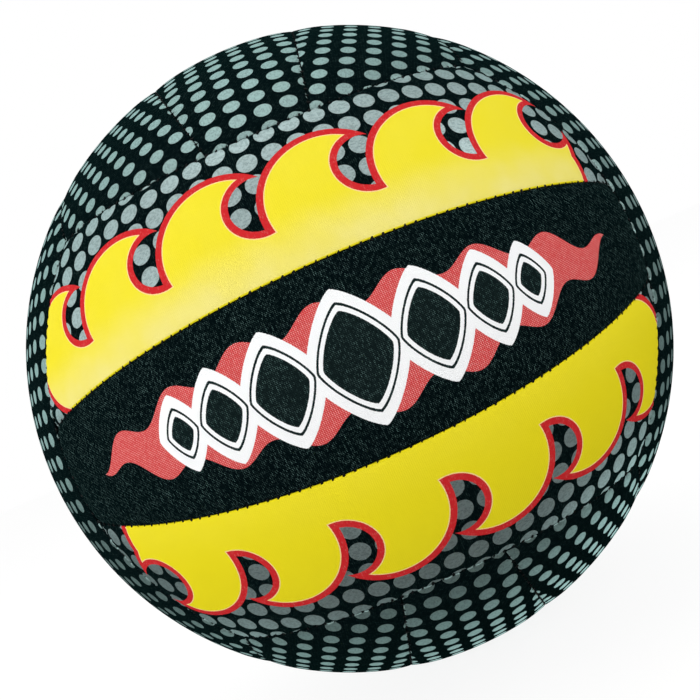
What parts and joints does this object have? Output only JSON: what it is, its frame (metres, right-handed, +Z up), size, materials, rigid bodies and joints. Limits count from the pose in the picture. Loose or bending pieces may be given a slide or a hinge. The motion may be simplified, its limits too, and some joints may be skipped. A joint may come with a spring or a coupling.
{
  "type": "beach volleyball",
  "caption": "Inflatable ball for beach volleyball, sewn from strips of knit-faced neoprene, with dots and a yellow and red print on black.",
  "frame": {"origin": "the ball's centre", "axes": "-Y points out of the front group of panels, whose strips run along X; +Z goes up through the valve"},
  "size_m": [0.213, 0.213, 0.2127],
  "materials": {
    "cover_band": "plain black knit over neoprene foam",
    "cover_print": "knit over neoprene foam, printed yellow with a red outline on dotted black",
    "cover_dots": "knit over neoprene foam, printed with grey-green dots on black",
    "backing_cloth": "plain woven cotton and polyester",
    "seam_thread": "bonded polyester thread",
    "bladder_rubber": "smooth butyl rubber",
    "valve_rubber": "moulded butyl rubber"
  },
  "bodies": {
    "root": {"panel_front_upper": "cover_print", "panel_front_middle": "cover_band", "panel_front_lower": "cover_print", "panel_back_upper": "cover_print", "panel_back_middle": "cover_band", "panel_back_lower": "cover_print", "panel_left_back": "cover_dots", "panel_left_middle": "cover_dots", "panel_left_front": "cover_dots", "panel_right_front": "cover_dots", "panel_right_middle": "cover_dots", "panel_right_back": "cover_dots", "panel_top_left": "cover_dots", "panel_top_middle": "cover_dots", "panel_top_right": "cover_dots", "panel_bottom_right": "cover_dots", "panel_bottom_middle": "cover_dots", "panel_bottom_left": "cover_dots", "lining_front_upper": "backing_cloth", "lining_front_middle": "backing_cloth", "lining_front_lower": "backing_cloth", "lining_back_upper": "backing_cloth", "lining_back_middle": "backing_cloth", "lining_back_lower": "backing_cloth", "lining_left_back": "backing_cloth", "lining_left_middle": "backing_cloth", "lining_left_front": "backing_cloth", "lining_right_front": "backing_cloth", "lining_right_middle": "backing_cloth", "lining_right_back": "backing_cloth", "lining_top_left": "backing_cloth", "lining_top_middle": "backing_cloth", "lining_top_right": "backing_cloth", "lining_bottom_right": "backing_cloth", "lining_bottom_middle": "backing_cloth", "lining_bottom_left": "backing_cloth", "thread_front": "seam_thread", "thread_back": "seam_thread", "thread_left": "seam_thread", "thread_right": "seam_thread", "thread_top": "seam_thread", "thread_bottom": "seam_thread", "bladder": "bladder_rubber", "valve_body": "valve_rubber", "valve_plug": "valve_rubber", "valve_patch": "backing_cloth"}
  },
  "joints": []
}
